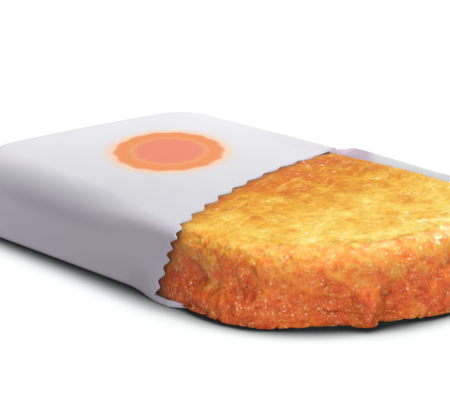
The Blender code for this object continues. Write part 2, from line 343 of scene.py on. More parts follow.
class Finish:
    """One Principled material, with short ways of adding the nodes that feed it."""

    def __init__(self, name, roughness):
        self.material = bpy.data.materials.new(name)
        self.material.use_nodes = True
        self.tree = self.material.node_tree
        self.shader = self.tree.nodes["Principled BSDF"]
        self.shader.inputs["Roughness"].default_value = roughness
        self.place = self.node("TexCoord", {})["Object"]

    def feed(self, socket, value):
        """Links a node's output to a socket, or sets a plain value on it."""
        if isinstance(value, bpy.types.NodeSocket):
            self.tree.links.new(value, socket)
        else:
            socket.default_value = value

    def node(self, kind, inputs, **settings):
        """Adds a node, makes its settings and feeds its inputs by name or number; returns its outputs."""
        made = self.tree.nodes.new("ShaderNode" + kind)
        for name, value in settings.items():
            setattr(made, name, value)
        for key, value in inputs.items():
            self.feed(made.inputs[key], value)
        return made.outputs

    def number(self, name):
        """A number that the piece keeps for each vertex."""
        return self.node("Attribute", {}, attribute_name=name)["Fac"]

    def axes(self, vector):
        """The x, y and z of a vector."""
        return tuple(self.node("SeparateXYZ", {"Vector": vector}))

    def math(self, operation, *values):
        """One step of arithmetic."""
        return self.node("Math", dict(enumerate(values)), operation=operation)[0]

    def step(self, value, start, end, low=0.0, high=1.0):
        """A smooth change from low to high, as a value goes from start to end."""
        inputs = dict(enumerate((value, start, end, low, high)))
        return self.node("MapRange", inputs, interpolation_type="SMOOTHSTEP")[0]

    def framed(self, origin, turns, scale):
        """The place as seen from a frame with that origin, turned about its axes and scaled."""
        angles = [math.radians(turn) for turn in turns]
        inputs = {"Vector": self.place, "Location": origin, "Rotation": angles, "Scale": scale}
        return self.node("Mapping", inputs, vector_type="TEXTURE")["Vector"]

    def noise(self, size, detail=2.0, stretch=(1, 1, 1), turn=0.0, lean=0.0):
        """Cloudy noise, about 0.3 to 0.7, with features of that size; turn is about Z and lean about Y."""
        place = self.framed((0, 0, 0), (0, lean, turn), stretch)
        return self.node("TexNoise", {"Vector": place, "Scale": 1 / size, "Detail": detail})["Fac"]

    def cells(self, place, size):
        """Cells of that size: the distance from each one's middle, and two random numbers of its own."""
        found = self.node("TexVoronoi", {"Vector": place, "Scale": 1 / size})
        own = self.node("SeparateColor", {"Color": found["Color"]})
        return found["Distance"], own["Red"], own["Green"]

    def dots(self, spacing, radius, share):
        """1 in small round dots and 0 between them; only a share of the places has one."""
        away, chosen, own = self.cells(self.place, spacing)
        here = self.math("LESS_THAN", chosen, share)
        reach = self.math("MULTIPLY_ADD", own, radius / spacing, radius / spacing)
        return self.math("MULTIPLY", here, self.step(self.math("DIVIDE", away, reach), 1.0, 0.55))

    def crumbs(self, size, ragged):
        """Crumbs with ragged borders: the distance from each one's middle, and its own random number."""
        wander = self.node("TexNoise", {"Vector": self.place, "Scale": 2.5 / size})["Color"]
        inputs = {0: wander, 1: (ragged * size,) * 3, 2: self.place}
        moved = self.node("VectorMath", inputs, operation="MULTIPLY_ADD")["Vector"]
        return self.cells(moved, size)[:2]

    def mix(self, share, low, high):
        """A blend of two colours."""
        return self.node("Mix", {"Factor": share, "A": low, "B": high}, data_type="RGBA")["Result"]

    def tint(self, colour, ink, *shares):
        """An ink, given in 0 to 255, laid over a colour as thickly as the product of the shares."""
        share, *others = shares
        for other in others:
            share = self.math("MULTIPLY", share, other)
        return self.mix(share, colour, srgb(*ink))

    def ramp(self, value, colours):
        """The colour of crust that is as brown as a value says."""
        node = self.tree.nodes.new("ShaderNodeValToRGB")
        self.feed(node.inputs["Fac"], value)
        scale = node.color_ramp.elements
        while len(scale) < len(colours):
            scale.new(0.5)
        for mark, place in zip(scale, BROWN_PLACES):
            mark.position = place
        for mark, colour in zip(scale, colours):
            mark.color = srgb(*colour)
        return node.outputs["Color"]

    def bump(self, height, depth, strength):
        """The shading of a fine relief of that depth."""
        inputs = {"Strength": strength, "Distance": depth, "Height": height}
        return self.node("Bump", inputs)["Normal"]

    def set(self, **inputs):
        """Feeds the shader's own sockets; an underscore stands for a space."""
        for name, value in inputs.items():
            self.feed(self.shader.inputs[name.replace("_", " ")], value)


# The colours of the crust from cream to dark brown, on the top and on the side
BROWN_PLACES = (0.00, 0.18, 0.36, 0.50, 0.64, 0.80, 1.00)
CRUST = (
    (255, 240, 178), (252, 216, 104), (240, 176, 48), (226, 134, 26), (220, 106, 28), (198, 74, 26),
    (132, 36, 18),
)
SIDE_CRUST = (
    (255, 218, 134), (255, 196, 80), (255, 171, 54), (255, 150, 43), (253, 120, 37), (240, 97, 36),
    (202, 62, 26),
)

# Golden grains, partly painted glints, and glints of oil painted as pale dots: spacing, radius and the
# share of the places that has one
GRAIN_AND_GLINT_DOTS = (0.0007, 0.00014, 0.60)
SIDE_GLINTS = (0.0012, 0.00016, 0.42)
RIM_GLINTS = (0.0009, 0.00017, 0.60)
TOP_GLINTS = (0.0016, 0.00027, 0.70)


def crust_finish():
    """Fried potato: browned in patches, with shreds, crumbs, flecks, dark spots that are partly painted
    shade in hollows, glints on beads of oil painted as pale dots, and painted shade by the paper.
    """
    crust = Finish("fried_crust", 0.40)
    side, rim, brown, painted_paper_shade = (crust.number(name) for name in ("side", "rim", "browning", "painted_paper_shade"))
    on_top = crust.step(side, 0.8, 0.1)
    away, own = crust.crumbs(0.0021, 0.8)
    fine_away, fine_own = crust.crumbs(0.0008, 0.8)
    fine = crust.noise(0.0006, 3.0)
    # what makes the browning uneven, by one amount on the top and another on the side
    for value, top_amount, side_amount in (
        (crust.noise(0.0065, 3.0), 0.48, 0.24),
        (own, 0.06, 0.12),
        (fine_own, 0.08, 0.14),
        (fine, 0.30, 0.26),
    ):
        amount = crust.step(side, 0, 1, top_amount, side_amount)
        brown = crust.math("ADD", brown, crust.math("MULTIPLY", crust.math("SUBTRACT", value, 0.5), amount))
    # the bumps of the near rim are cream on their backs and amber between
    between = crust.step(away, 0.25, 0.75, -0.05, 0.27)
    brown = crust.math("MULTIPLY_ADD", between, rim, brown)
    colour = crust.mix(crust.step(side, 0, 0.5), crust.ramp(brown, CRUST), crust.ramp(brown, SIDE_CRUST))
    # strokes on the top along the shreds: pale ones, partly a painted streaky highlight, and amber ones in
    # the gaps between, partly painted shade
    strokes = crust.step(crust.noise(0.0012, 2.0, (5, 1, 1), 112), 0.56, 0.70, 0, 0.40)
    gaps = crust.step(crust.noise(0.0010, 2.0, (6, 1, 1), 104), 0.44, 0.30, 0, 0.32)
    # flecks, dark spots that are partly painted shade of hollows, and grains on the side, and where the
    # flecks, the grains and the top's painted glints gather
    clusters = crust.step(crust.noise(0.0035, 2.0), 0.40, 0.58)
    patches = crust.step(crust.noise(0.010, 2.0), 0.46, 0.60)
    round_flecks = crust.step(crust.noise(0.0004, 1.5), 0.59, 0.64)
    long_flecks = crust.step(crust.noise(0.0008, 1.5, (7, 1, 1), -15, 35), 0.67, 0.71)
    flecks = crust.math("MAXIMUM", round_flecks, long_flecks)
    # dark red spots: partly deeper browning, partly painted shade in small hollows
    pit_shade = crust.step(crust.noise(0.0018, 3.0), 0.42, 0.30, 0, 0.30)
    # one over the other: the grains are partly painted glints, the next three are painted glints of oil,
    # and the last is painted shade where the crust comes out from under the paper
    for ink, *shares in (
        ((255, 222, 120), strokes, on_top),
        ((214, 118, 24), gaps, on_top),
        ((255, 200, 112), flecks, clusters, crust.step(side, 0, 0.6, 0.2, 0.8)),
        ((210, 64, 25), pit_shade, crust.step(side, 0.2, 1)),
        ((255, 214, 130), crust.dots(*GRAIN_AND_GLINT_DOTS), clusters, crust.step(side, 0.05, 0.5, 0, 0.85)),
        ((255, 228, 196), crust.dots(*SIDE_GLINTS), crust.step(side, 0.05, 0.4, 0, 0.9)),
        ((255, 244, 206), crust.dots(*RIM_GLINTS), crust.step(rim, 0.15, 0.6, 0, 0.8)),
        ((255, 248, 230), crust.dots(*TOP_GLINTS), patches, crust.step(side, 0.6, 0.1)),
        ((88, 44, 18), painted_paper_shade, 0.72),
    ):
        colour = crust.tint(colour, ink, *shares)
    relief = crust.math("MULTIPLY_ADD", away, -0.7, fine)
    relief = crust.math("MULTIPLY_ADD", fine_away, -0.25, relief)
    depth = crust.math("MAXIMUM", crust.step(side, 0.1, 0.7, 0.35, 1), rim)
    crust.set(
        Base_Color=colour,
        Normal=crust.bump(crust.math("MULTIPLY", relief, depth), 0.0006, 0.72),
        Specular_IOR_Level=0.15,
        Subsurface_Weight=0.3,
        Subsurface_Scale=0.0014,
        Subsurface_Radius=(1.0, 0.40, 0.10),
        Coat_Weight=crust.math("MULTIPLY_ADD", rim, 0.30, crust.step(side, 0, 0.6, 0.08, 0.40)),
        Coat_Roughness=0.12,
        Coat_Normal=crust.bump(crust.noise(0.0007, 2.5), 0.0006, 1.0),
    )
    return crust.material


PRINT_PLACE = (-0.027, 0.002)
PRINT_HALF = (0.0182, 0.0134)
PRINT_TURN = 132  # from +X to the long axis
PRINT_PETALS = 14
PETAL_DEPTH = 0.018


def lay_rosette(paper, colour):
    """Prints a plain scalloped rosette on the top panel; places are shares of its half length and width."""
    place = paper.framed((*PRINT_PLACE, 0), (0, 0, PRINT_TURN), (*PRINT_HALF, 1))
    along, across, height = paper.axes(place)
    squares = (paper.math("POWER", along, 2.0), paper.math("POWER", across, 2.0))
    away = paper.math("SQRT", paper.math("ADD", *squares))
    turn = paper.math("MULTIPLY", paper.math("ARCTAN2", across, along), float(PRINT_PETALS))
    edge = paper.math("MULTIPLY_ADD", paper.math("COSINE", turn), -PETAL_DEPTH, away)
    on_top = paper.step(height, SEAM, SLEEVE_HEIGHT - 0.001)
    # from the outside in: a soft glow, the orange ring, a thin pale line and the salmon middle
    for ink, *shares in (
        ((248, 196, 146), paper.step(away, 1.24, 0.94, 0, 0.75)),
        ((238, 138, 76), paper.step(edge, 1.00, 0.90)),
        ((238, 150, 100), paper.step(edge, 0.74, 0.66), paper.step(edge, 0.56, 0.62)),
        ((232, 128, 100), paper.step(edge, 0.66, 0.50)),
    ):
        colour = paper.tint(colour, ink, *shares, on_top)
    return colour


def paper_grain(paper):
    """The faint grain of both faces of the paper."""
    return paper.bump(paper.noise(0.0006, 3.0), 0.00006, 0.35)


def paper_finish():
    """Smooth white paper with painted light and shade: brightest at its far corner by the shut end and
    darker towards the mouth, painted shade on the near wall and fold, and a rosette on the top panel.
    """
    paper = Finish("white_paper", 0.62)
    x, y, z = paper.axes(paper.place)
    # painted light: brightest towards the far corner by the shut end and darker towards the mouth, with a
    # little random variation
    painted_light_tone = paper.math("MULTIPLY_ADD", x, -0.74, paper.math("MULTIPLY", y, 0.67))
    painted_light_tone = paper.math("MULTIPLY_ADD", paper.noise(0.030, 2.0), 0.012, painted_light_tone)
    colour = paper.mix(paper.step(painted_light_tone, -0.035, 0.070), srgb(200, 199, 205), srgb(230, 228, 232))
    # painted shade: the near wall gets a mauve shade, deeper towards the mouth, and the near fold is
    # painted darker towards the shut end
    wall = paper.mix(paper.step(x, -0.060, 0.012), srgb(217, 210, 226), srgb(202, 196, 206))
    colour = paper.mix(paper.step(y, -0.0335, -0.0356), colour, wall)
    colour = paper.tint(colour, (214, 190, 220), paper.number("tip"))
    on_fold = (paper.step(y, -0.0265, -0.0345), paper.step(z, 0.0085, 0.0125))
    colour = paper.tint(colour, (140, 138, 150), *on_fold, paper.step(x, 0.004, -0.022, 0, 0.45))
    paper.set(
        Base_Color=lay_rosette(paper, colour),
        Normal=paper_grain(paper),
        Subsurface_Weight=0.5,
        Subsurface_Scale=0.0008,
        Subsurface_Radius=(1.0, 1.0, 1.0),
    )
    return paper.material


def lining_finish():
    """The sleeve's inner face, with painted shade and light: mauve shade in the mouth, near white light
    along the lip and grey shade by the near foot.
    """
    lining = Finish("paper_lining", 0.7)
    x, y, _ = lining.axes(lining.place)
    # painted shade and light: mauve in the mouth, near white along the lip, grey by the near foot
    cloud = lining.step(lining.noise(0.012, 2.0), 0.35, 0.65)
    mauve = lining.mix(cloud, srgb(158, 122, 146), srgb(170, 134, 158))
    colour = lining.tint(mauve, (252, 254, 255), lining.step(x, 0.004, 0.011))
    lining.set(
        Base_Color=lining.tint(colour, (158, 154, 168), lining.step(y, -0.029, -0.034)),
        Normal=paper_grain(lining),
        Subsurface_Weight=1.0,
        Subsurface_Scale=0.004,
        Subsurface_Radius=(1.0, 1.0, 1.0),
    )
    return lining.material


def cut_edge_finish():
    """The raw cut edge of the sheet, with painted light and shade: whiter than its faces on the top, and
    grey down the near wall.
    """
    edge = Finish("paper_edge", 0.7)
    _, _, z = edge.axes(edge.place)
    cloud = edge.step(edge.noise(0.0008, 2.0), 0.35, 0.65)
    pale = edge.mix(cloud, srgb(244, 246, 252), srgb(252, 253, 255))
    # painted light on the top's edge and painted shade down the near wall
    edge.set(Base_Color=edge.mix(edge.step(z, SEAM, SLEEVE_HEIGHT), srgb(184, 182, 200), pale))
    return edge.material


# --- The camera, the lights and the table


def aim(thing, place, target):
    """Puts a light or camera at a place and turns it to look at a target."""
    thing.location = place
    thing.rotation_euler = (Vector(target) - Vector(place)).to_track_quat("-Z", "Y").to_euler()


def camera():
    """The photo's view: from above the free end, 16 degrees over the table."""
    data = bpy.data.cameras.new("camera")
    data.lens = CAMERA_LENS
    data.sensor_width = SENSOR_WIDTH
    made = new_object("camera", data)
    aim(made, CAMERA_PLACE, CAMERA_AIM)
    bpy.context.scene.camera = made


def studio():
    """A high key light, low fills from behind, from the free end and the near side, and a small crisp one.

    The fills are so low that they light the sides and hardly reach the table, so the shadow stays deep.
    The one from behind shines through the lip. The small one glints in the oil.
    """
    scene = bpy.context.scene
    for name, toward, strength, spread, colour in SUNS:
        data = bpy.data.lights.new(name, "SUN")
        data.energy = strength
        data.angle = math.radians(spread)
        data.color = colour
        aim(new_object(name, data), toward, (0, 0, 0))
    scene.world = bpy.data.worlds.new("room")
    scene.world.use_nodes = True
    room = scene.world.node_tree.nodes["Background"]
    room.inputs["Color"].default_value = ROOM_COLOUR
    room.inputs["Strength"].default_value = ROOM_STRENGTH
    scene.view_settings.view_transform = "Standard"


def white_table():
    """A white table with a painted shadow, which deepens to black where the object shuts it in."""
    signs = ((-1, -1), (1, -1), (1, 1), (-1, 1))
    corners = [(x * TABLE_HALF, y * TABLE_HALF, -TABLE_DROP) for x, y in signs]
    mesh = bpy.data.meshes.new("table")
    mesh.from_pydata(corners, [], [(0, 1, 2, 3)])
    table = new_object("table", mesh)
    table.visible_diffuse = False  # so that it throws no light up on the object
    white = Finish("white_table", 1.0)
    # painted shadow: the more the object shuts the table in, the darker it is painted
    openness = white.node("AmbientOcclusion", {"Distance": CONTACT_SHADOW}, samples=16)["AO"]
    colour = white.mix(white.step(openness, *OPENNESS), SHADOW_COLOUR, TABLE_COLOUR)
    white.set(Base_Color=colour, Specular_IOR_Level=0.0)
    mesh.materials.append(white.material)


# --- The cut, which the patty's shade follows too


def top_cut(y):
    """The x at which the top panel's slanted cut crosses y."""
    across = np.clip((HALF_WIDTH - y) / (2 * HALF_WIDTH), 0, 1)
    return SHUT_END_X + TOP_REACH_FAR + (TOP_REACH_NEAR - TOP_REACH_FAR) * across**CUT_CURVE


def wall_cut(z):
    """The x at which the near wall's cut crosses the height z."""
    climbed = np.clip(z / SLEEVE_HEIGHT, 0, 1) ** WALL_CURVE
    return SHUT_END_X + WALL_REACH_FOOT + (TOP_REACH_NEAR - WALL_REACH_FOOT) * climbed


# --- The patty


def outline(turn, inset):
    """The patty's outline at turns in degrees from the free end: x, y and the way out.

    Each end is half a superellipse, |x/a|^p + |y/b|^p = 1. The sides between the ends are straight.
    """
    folded = 1 - np.abs(turn % 180 / 90 - 1)
    ahead = folded * (QUARTER_TURN + STRAIGHT_HALF)
    angle = np.radians(90 * np.minimum(1, ahead / QUARTER_TURN))
    x = np.clip(np.cos(angle), 0, 1) ** (2 / END_POWER)
    y = np.sin(angle) ** (2 / END_POWER)
    out_x = x ** (END_POWER - 1) / END_REACH
    out_y = y ** (END_POWER - 1) / PATTY_HALF_WIDTH
    length = np.hypot(out_x, out_y)
    along = STRAIGHT_HALF - np.maximum(0, ahead - QUARTER_TURN)
    mirror_x = np.where((turn > 90) & (turn <= 270), -1, 1)
    mirror_y = np.where(turn > 180, -1, 1)
    plan_x = mirror_x * (along + x * (END_REACH - inset)) + PATTY_X
    plan_y = mirror_y * y * (PATTY_HALF_WIDTH - inset)
    return plan_x, plan_y, mirror_x * out_x / length, mirror_y * out_y / length


def rim_radius(turn):
    """The radius of the upper rim at each turn, changing smoothly from one mark to the next."""
    marks, radii = np.array(RIM_RADII).T
    place = np.interp(turn, marks, np.arange(len(marks)))
    before = np.minimum(place.astype(int), len(marks) - 2)
    return radii[before] + (radii[before + 1] - radii[before]) * fade(0, 1, place - before)


def side_rows(turn):
    """Rows down the side from the rim's top to the base, for each turn: inset, height, tilt and way down.

    The rim and the under edge are quarter rounds, and the side between them is straight.
    """
    rim = np.radians(90 * (1 - np.arange(RIM_ROWS + 1) / RIM_ROWS))[:, None]
    side = (np.arange(1, SIDE_ROWS) / SIDE_ROWS)[:, None]
    under = np.radians(-90 * np.arange(UNDER_ROWS + 1) / UNDER_ROWS)[:, None]
    radius = rim_radius(turn)[None, :]
    none = radius * 0
    foot = PATTY_THICKNESS - radius
    under_inset = UNDER_RADIUS * (1 - np.cos(under)) + none
    under_height = UNDER_RADIUS * (1 + np.sin(under)) + none
    inset = np.vstack([radius * (1 - np.cos(rim)), side * none, under_inset])
    height = np.vstack([foot + radius * np.sin(rim), foot + (UNDER_RADIUS - foot) * side, under_height])
    tilt = np.vstack([rim, side * 0, under]) + none
    step = np.hypot(np.diff(inset, axis=0), np.diff(height, axis=0))
    return inset, height, tilt, np.vstack([none, np.cumsum(step, axis=0)])


def square_turn(across, along):
    """The turn in degrees of points on square rings, evenly along each side, then crowded together."""
    ring = np.maximum(np.maximum(np.abs(across), np.abs(along)), 1e-9)
    u, v = across / ring, along / ring
    on_ends = np.where(u > 0, 45 * v, 180 - 45 * v)
    on_sides = np.where(v > 0, 90 - 45 * u, 270 + 45 * u)
    share = np.where(np.abs(u) >= np.abs(v), on_ends, on_sides) / 360
    crowded = share - CROWDING * np.sin(2 * np.pi * share) / (2 * np.pi)
    return (FINE_TURN + 360 * crowded) % 360


def lay_shreds(u, v, spans, count, length, width, lean, seed):
    """The height from 0 to 1 and the tint from -1 to 1 of potato shreds scattered over a flat field.

    A shred is a slightly bent bar with round ends. Its back rises as (1 - d²)^SHRED_ROUNDING at d half
    widths from its middle line, and where shreds cross, the highest one is seen.
    """
    rng = np.random.default_rng(seed)
    height = np.zeros_like(u)
    tint = np.zeros_like(u)
    for _ in range(count):
        middle = rng.uniform(*spans[0]), rng.uniform(*spans[1])
        angle = math.radians(rng.normal(*lean))
        half_length = rng.uniform(*length) / 2
        half_width = rng.uniform(*width) / 2
        bend = rng.normal(0, SHRED_BEND) / half_length
        rise, shade = rng.uniform(*SHRED_RISE), rng.uniform(-1, 1)
        reach = half_length + half_width
        near = np.flatnonzero((np.abs(u - middle[0]) < reach) & (np.abs(v - middle[1]) < reach))
        du, dv = u[near] - middle[0], v[near] - middle[1]
        forward = du * math.cos(angle) + dv * math.sin(angle)
        aside = dv * math.cos(angle) - du * math.sin(angle) - bend * forward**2
        away = np.hypot(np.maximum(0, np.abs(forward) - half_length), aside) / half_width
        back = rise * np.clip(1 - away * away, 0, 1) ** SHRED_ROUNDING
        higher = back > height[near]
        height[near[higher]] = back[higher]
        tint[near[higher]] = shade
    return height, tint


def crags(place, among, seed):
    """Broken facets: each point belongs to the nearest of some random centres on the skin.

    A facet is raised by its own random amount and leans its own way. Returns that height from -1 to 1, the
    facet's tint, and a crack: 1 on a border, and 0 where the next centre is CRACK_WIDTH further away.
    """
    rng = np.random.default_rng(seed)
    centres = place[rng.choice(among, FACETS, replace=False)]
    lean = rng.normal(0, FACET_LEAN, (FACETS, 3))
    rise, shade = rng.uniform(-FACET_RISE, FACET_RISE, FACETS), rng.uniform(-1, 1, FACETS)
    height, tint, crack = (np.zeros(len(place)) for _ in range(3))
    for start in range(0, len(place), CHUNK):
        chunk = slice(start, start + CHUNK)
        part = place[chunk]
        away = np.sqrt(((part[:, None, :] - centres[None, :, :]) ** 2).sum(-1))
        first = away.argmin(axis=1)
        here = np.arange(len(part))
        nearest = away[here, first]
        away[here, first] = np.inf
        offset = (part - centres[first]) / FACET_SIZE
        height[chunk] = np.clip(rise[first] + (offset * lean[first]).sum(-1), -1, 1)
        tint[chunk] = shade[first]
        crack[chunk] = 1 - fade(0, CRACK_WIDTH, away.min(axis=1) - nearest)
    return height, tint, crack


def crust_textures(place, normal, sideways, round_place, way_down):
    """The skin's random textures by name: lumps, crumbs, starchy lumps that are partly painted highlight,
    blisters, shreds and facets.
    """
    top_back, top_tint = lay_shreds(place[:, 0], place[:, 1], *TOP_SHREDS)
    side_back, side_tint = lay_shreds(round_place, way_down, *SIDE_SHREDS)
    edge = fade(*SHRED_FADE, sideways)
    shown_skin = np.flatnonzero((place[:, 0] > -0.012) & (normal[:, 2] > -0.9))
    facet, facet_tint, crack = crags(place, shown_skin, 13)
    return {
        "lumps": lattice_noise(place, 0.009, 1),
        "crumb": 0.55 * lattice_noise(place, 0.0021, 2) + 0.45 * lattice_noise(place, 0.0011, 3),
        "starch_and_sheen": fade(0.0, 0.5, lattice_noise(place, 0.0042, 4)),
        "blister": np.clip(lattice_noise(place, 0.0030, 5), 0, 1),
        "back": top_back * (1 - edge) + side_back * edge - SHRED_MEAN,
        "tint": top_tint * (1 - edge) + side_tint * edge,
        "facet": facet,
        "facet_tint": facet_tint,
        "crack": crack,
    }


def weigh(textures, weights, sideways, rim):
    """The sum of the textures, each by its weight everywhere, on the side and on the bumpy rim."""
    return sum(textures[name] * (a + b * sideways + c * rim) for name, (a, b, c) in weights.items())


def region(x, y, middle_x, half_length, middle_y, half_width):
    """1 in the middle of a soft oval patch of the crust, falling off outwards."""
    return bell(x, middle_x, half_length) * bell(y, middle_y, half_width)


def crust_looks(place, normal, round_place, way_down):
    """The skin's relief, its browning, and the shares of side, bumpy rim and painted shade by the paper."""
    x, y = place[:, 0], place[:, 1]
    sideways = np.hypot(normal[:, 0], normal[:, 1])
    on_top = normal[:, 2] > 0
    covered_to = np.where(on_top | (y < 0), top_cut(y), LIP_X)
    textures = crust_textures(place, normal, sideways, round_place, way_down)
    middle, above, below = BUMPY_BAND
    rim = region(x, y, *BUMPY_END) * bell(way_down, middle, np.where(way_down < middle, above, below))

    flat_relief = np.where(on_top, TOP_RELIEF, BASE_RELIEF)
    height = flat_relief + (CRAG_RELIEF - flat_relief) * sideways
    shown = HIDDEN_SHARE + (1 - HIDDEN_SHARE) * fade(covered_to, RELIEF_LENGTH, x)
    height *= np.where(normal[:, 2] > FLAT_BASE, shown, 1)
    relief = height * weigh(textures, RELIEF_WEIGHTS, sideways, rim)
    far_edge = fade(0.020, 0.010, y) * bell(x, 0.022, 0.018)
    relief += FAR_RISE * far_edge * fade(0.2, 0.6, normal[:, 2])
    relief = np.where(normal[:, 2] < -0.5, np.maximum(relief, -BASE_RELIEF), relief)

    by_mouth = np.exp(-np.maximum(0, x - covered_to) / 0.012) * on_top
    browning = crust_browning(x, y, sideways, on_top, way_down, textures["starch_and_sheen"])
    browning += 0.12 * by_mouth + 0.05 * rim + weigh(textures, BROWN_WEIGHTS, sideways, rim)

    # painted shade where the crust comes out from under the paper's cut, fading away from the cut
    cut_x = np.where(y < MOUTH_CREASE - HALF_WIDTH, wall_cut(place[:, 2]), top_cut(y))
    painted_paper_shade = np.exp(-np.maximum(0, x - cut_x) / (0.0014 + 0.0012 * sideways))
    painted_paper_shade *= (0.74 + 0.26 * sideways) * (1 - 0.45 * fade(0, 0.030, y))
    return relief, browning, sideways, rim, painted_paper_shade


def crust_browning(x, y, sideways, on_top, way_down, starch_and_sheen):
    """How brown the parts of the crust are: golden on top, cream along the near rim, red-brown low down,
    with a painted highlight in a pale patch by the mouth and partly in the rim's starchy lumps.
    """
    cream_end = region(x, y, *CREAM_END)
    browning = 0.325 + 0.18 * region(x, y, *FAR_AMBER)
    browning -= cream_end * 0.10 * bell(way_down, *CREAM_BAND)
    # paler starchy lumps on the near rim, partly painted highlight
    browning -= cream_end * (0.16 * starch_and_sheen - 0.05) * bell(way_down, *STARCH_AND_SHEEN_BAND)
    browning -= on_top * 0.055 * fade(*GOLDEN_FADE, x)
    # painted highlight: a pale patch on the top by the mouth's near side
    browning -= on_top * 0.14 * fade(*SHEEN_Y_FADE, -y) * bell(x, *SHEEN_BY_MOUTH)
    lower = way_down - 0.0010 * fade(0.038, 0.012, x)  # at the free end the brown starts lower
    by_mouth, at_end = SIDE_BROWN_LENGTHS
    length = by_mouth + (at_end - by_mouth) * fade(*SIDE_BROWN_FADE, x)
    browning += 0.25 * fade(SIDE_BROWN_START, length, lower)
    browning += 0.15 * fade(*LOW_BROWN_FADE, lower)
    return browning + 0.06 * sideways * bell(x, 0.014, 0.014)


def crust_bulge(place, sideways, way_down):
    """How far each point of the side is pushed straight out: broken crags and the bulging near foot."""
    x, y = place[:, 0], place[:, 1]
    bulge = fade(0.009, 0.006, way_down) * (y < 0) * np.interp(x, *zip(*NEAR_BULGE))
    for crag_x, crag_y, size, push in CRAGS:
        crag = bell(np.hypot(x - crag_x, y - crag_y), 0, size)
        bulge += push * crag * fade(0.009, 0.005, way_down)
    return bulge * (sideways > 0)


def ragged_foot(place, from_edge):
    """How far the crumbs along the base's edge are lifted off the table."""
    at_edge = bell(from_edge, 0, FOOT_CRUMB_REACH) * fade(0.016, 0.010, place[:, 0])
    crumb = 0.5 * lattice_noise(place, 0.0016, 6) + 0.5 * lattice_noise(place, 0.0008, 7)
    return FOOT_RAGGEDNESS * at_edge * np.clip(1.5 * crumb - 0.12, 0, 1)


def hash_brown():
    """The patty: a fine square grid over the top and the base, joined by rows round the side."""
    marks = np.linspace(-1, 1, PATTY_CELLS + 1)
    across, along = (a.ravel() for a in np.meshgrid(marks, marks, indexing="ij"))
    ring = np.maximum(np.abs(across), np.abs(along))
    numbers = np.arange(len(across)).reshape(PATTY_CELLS + 1, -1)
    loop = np.concatenate([numbers[-1, :-1], numbers[:0:-1, -1], numbers[0, :0:-1], numbers[:-1, 0]])
    turn = square_turn(across, along)

    # the flat faces shrink about a point near the free end, and the side is rows of whole outlines
    parts = []
    for inset, height, way_out in ((rim_radius(turn), PATTY_THICKNESS, 1), (UNDER_RADIUS, 0, -1)):
        x, y, _, _ = outline(turn, inset)
        x, y = FINE_X + ring * (x - FINE_X), ring * y
        zero = np.zeros_like(x)
        inward = (1 - ring) * PATTY_HALF_WIDTH
        down = -inward if way_out > 0 else PATTY_THICKNESS + inward
        parts.append([x, y, zero + height, zero, zero, zero + way_out, zero, down])
    inset, height, tilt, down = (a[1:-1] for a in side_rows(turn[loop]))
    side_turn = np.broadcast_to(turn[loop], height.shape)
    x, y, out_x, out_y = outline(side_turn, inset)
    round_place = ((side_turn + 180) % 360 - 180) / 360 * OUTLINE_LENGTH
    side = [x, y, height, out_x * np.cos(tilt), out_y * np.cos(tilt), np.sin(tilt), round_place, down]
    parts.insert(1, [a.ravel() for a in side])
    x, y, up, nx, ny, nz, round_place, way_down = (np.concatenate(a) for a in zip(*parts))
    normal = np.stack([nx, ny, nz], axis=-1)

    near_foot = fade(0.012, 0.010, x) * fade(0.022, 0.010, -y)
    sag = np.maximum(FREE_END_SAG * fade(LIP_X, RELIEF_LENGTH, x), NEAR_FOOT_SAG * near_foot)
    sag *= 1 - up / PATTY_THICKNESS
    place = np.stack([x, y, PATTY_BASE + up - sag], axis=-1)
    relief, *looks = crust_looks(place, normal, round_place, way_down)
    sideways = looks[1]
    bulge = crust_bulge(place, sideways, way_down)
    place = place + normal * relief[:, None]
    place[:, :2] += normal[:, :2] * (bulge / np.maximum(sideways, 0.01))[:, None]
    place[:, 2] += ragged_foot(place, np.where(nz < FLAT_BASE, way_down - PATTY_THICKNESS, up))

    # vertex numbers: the top, the side rows and the base
    side_numbers = len(across) + np.arange(side_turn.size).reshape(side_turn.shape)
    base_start = len(across) + side_turn.size
    bands = np.vstack([loop, side_numbers, base_start + loop])
    bands = np.hstack([bands, bands[:, :1]])
    faces = np.vstack([grid_quads(numbers), grid_quads(bands), grid_quads(base_start + numbers)[:, ::-1]])
    patty = new_piece("fried_patty", place.tolist(), faces.tolist())
    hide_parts("hash_brown")
    patty.visible_diffuse = False  # so that it throws no orange light on the paper and the table
    for name, values in zip(("browning", "side", "rim", "painted_paper_shade"), looks):
        store(patty, name, values)
    patty.data.materials.append(crust_finish())


# --- The sleeve


def pinked(place, start, end, teeth):
    """How far a toothed edge stands out, from -1/2 in a notch to 1/2 at a tip, with rounded corners."""
    phase = (place - start) / (end - start) * teeth % 1
    ramp = np.where(phase < TOOTH_LEAN, phase / TOOTH_LEAN, (1 - phase) / (1 - TOOTH_LEAN))
    wave = (1 - np.cos(np.pi * ramp)) / 2
    return ramp + TOOTH_ROUNDING * (wave - ramp) - 0.5


